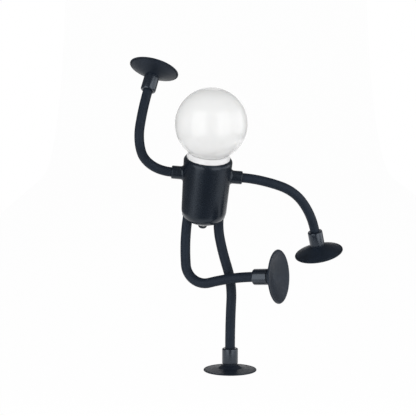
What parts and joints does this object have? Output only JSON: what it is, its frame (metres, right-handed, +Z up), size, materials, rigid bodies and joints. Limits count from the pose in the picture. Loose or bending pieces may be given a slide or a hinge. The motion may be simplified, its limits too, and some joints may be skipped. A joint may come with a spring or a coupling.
{
  "type": "poseable figure night light",
  "caption": "Poseable figure night light: an opal globe head on a cup-shaped body with bendable arms and legs, each ending in a suction cup.",
  "frame": {"origin": "middle of the standing foot's lip, on the floor", "axes": "+Z up, -Y the figure's front, +X to the right as seen from the front"},
  "size_m": [0.1803, 0.0902, 0.2656],
  "materials": {
    "black_shell": "satin",
    "opal_globe": "gloss",
    "white_collar": "satin",
    "limb_skin": "matte",
    "ferrule_skin": "satin",
    "cup_rubber": "satin",
    "wire": "satin",
    "fastener": "satin",
    "spreader": "satin",
    "white_board": "matte",
    "green_board": "satin",
    "carrier": "matte",
    "chip": "gloss",
    "cell": "satin",
    "switch_case": "matte",
    "socket_shell": "satin",
    "lead_skin": "satin",
    "bezel_ring": "satin",
    "button_cap": "gloss"
  },
  "bodies": {
    "foot": {"stand_foot_cup": "cup_rubber", "stand_foot_ferrule": "ferrule_skin", "stand_leg_lower": "limb_skin", "stand_leg_knee": "limb_skin"},
    "stand_thigh": {"stand_leg_upper": "limb_skin", "stand_leg_core": "wire"},
    "torso": {"body_shell": "black_shell", "globe": "opal_globe", "globe_collar": "white_collar", "lamp_carrier": "carrier", "heat_spreader": "spreader", "lamp_board": "white_board", "light_chips": "chip", "lamp_screws": "fastener", "battery_cell": "cell", "control_board": "green_board", "board_screws": "fastener", "power_switch": "switch_case", "charging_socket": "socket_shell", "lamp_leads": "lead_skin", "button_bezel": "bezel_ring", "left_shoulder_sleeve": "black_shell", "left_shoulder_nut": "fastener", "right_shoulder_sleeve": "black_shell", "right_shoulder_nut": "fastener", "left_arm_root": "limb_skin", "right_arm_root": "limb_skin", "kick_leg_hip": "limb_skin", "stand_leg_hip": "limb_skin"},
    "left_upper": {"left_arm_upper": "limb_skin", "left_arm_elbow": "limb_skin", "left_arm_core": "wire"},
    "left_fore": {"left_arm_lower": "limb_skin", "left_hand_ferrule": "ferrule_skin", "left_hand_cup": "cup_rubber"},
    "right_upper": {"right_arm_upper": "limb_skin", "right_arm_elbow": "limb_skin", "right_arm_core": "wire"},
    "right_fore": {"right_arm_lower": "limb_skin", "right_hand_ferrule": "ferrule_skin", "right_hand_cup": "cup_rubber"},
    "kick_thigh": {"kick_leg_upper": "limb_skin", "kick_leg_knee": "limb_skin", "kick_leg_core": "wire"},
    "kick_shin": {"kick_leg_lower": "limb_skin", "kick_foot_ferrule": "ferrule_skin", "kick_foot_cup": "cup_rubber"},
    "button": {"push_button": "button_cap"}
  },
  "joints": [
    {"name": "stand_knee", "type": "hinge", "parent": "foot", "child": "stand_thigh", "pos_m": [0.00041, 0.00088, 0.07448], "axis": [0.992, 0.0082, 0.126], "range_deg": [-25, 25], "deforming": ["stand_leg_knee", "stand_leg_core"]},
    {"name": "stand_hip", "type": "hinge", "parent": "stand_thigh", "child": "torso", "pos_m": [-0.00957, 0.00636, 0.11866], "axis": [-0.0185, 0.9969, 0.0764], "range_deg": [-15, 15], "deforming": ["stand_leg_hip", "stand_leg_core"]},
    {"name": "left_shoulder", "type": "hinge", "parent": "torso", "child": "left_upper", "pos_m": [-0.05592, -0.00746, 0.17098], "axis": [-0.0715, 0.9516, 0.2988], "range_deg": [-80, 20], "deforming": ["left_arm_root", "left_arm_core"]},
    {"name": "left_elbow", "type": "hinge", "parent": "left_upper", "child": "left_fore", "pos_m": [-0.07506, -0.02283, 0.1969], "axis": [-0.9223, 0.3863, 0.0058], "range_deg": [-90, 30], "deforming": ["left_arm_elbow", "left_arm_core"]},
    {"name": "right_shoulder", "type": "hinge", "parent": "torso", "child": "right_upper", "pos_m": [0.01682, -0.00668, 0.16401], "axis": [-0.0002, 0.9588, 0.284], "range_deg": [-75, 5], "deforming": ["right_arm_root", "right_arm_core"]},
    {"name": "right_elbow", "type": "hinge", "parent": "right_upper", "child": "right_fore", "pos_m": [0.05217, 0.00049, 0.15187], "axis": [-0.0804, 0.9005, 0.4273], "range_deg": [-60, 15], "deforming": ["right_arm_elbow", "right_arm_core"]},
    {"name": "kick_hip", "type": "hinge", "parent": "torso", "child": "kick_thigh", "pos_m": [-0.03696, 0.00648, 0.12091], "axis": [-0.9953, -0.0083, 0.0961], "range_deg": [-8, 45], "deforming": ["kick_leg_hip", "kick_leg_core"]},
    {"name": "kick_knee", "type": "hinge", "parent": "kick_thigh", "child": "kick_shin", "pos_m": [-0.03085, 0.00048, 0.07802], "axis": [-0.3207, -0.9387, 0.1268], "range_deg": [-20, 15], "deforming": ["kick_leg_knee", "kick_leg_core"]},
    {"name": "button_press", "type": "slide", "parent": "torso", "child": "button", "axis": [0.0796, -0.2823, 0.956], "range_m": [0, 0.001], "stiffness_N_per_m": 900}
  ]
}
